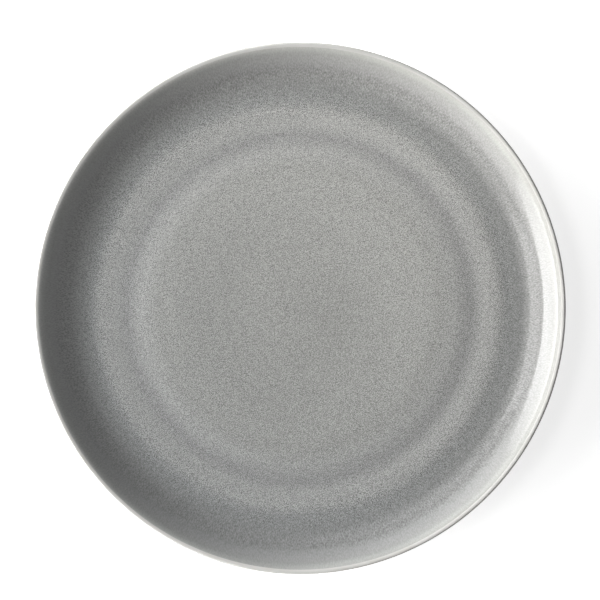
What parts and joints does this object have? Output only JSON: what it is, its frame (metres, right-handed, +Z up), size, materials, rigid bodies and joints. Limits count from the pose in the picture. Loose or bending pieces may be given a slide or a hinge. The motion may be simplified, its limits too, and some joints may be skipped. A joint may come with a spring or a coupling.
{
  "type": "coupe dinner plate",
  "caption": "Round coupe dinner plate: a dished well with soft throwing rings, a curved wall with a rounded lip, and a low foot ring; glazed grey inside, pale outside.",
  "frame": {"origin": "on the table under the centre of the plate, in the plane that the foot ring stands on", "axes": "+Z up along the plate's axis, out of the eating face; the plate is round, so +X and +Y are any two directions square to it"},
  "size_m": [0.27, 0.27, 0.019],
  "materials": {
    "bare_clay": "matt fired clay, smoothed where it stands",
    "grey_glaze": "satin gloss, finely speckled, darker where it pools and pale where it thins at the lip",
    "pale_glaze": "gloss, warm off-white"
  },
  "bodies": {
    "root": {"body": "bare_clay", "face_glaze": "grey_glaze", "outer_glaze": "pale_glaze", "base_glaze": "pale_glaze"}
  },
  "joints": []
}
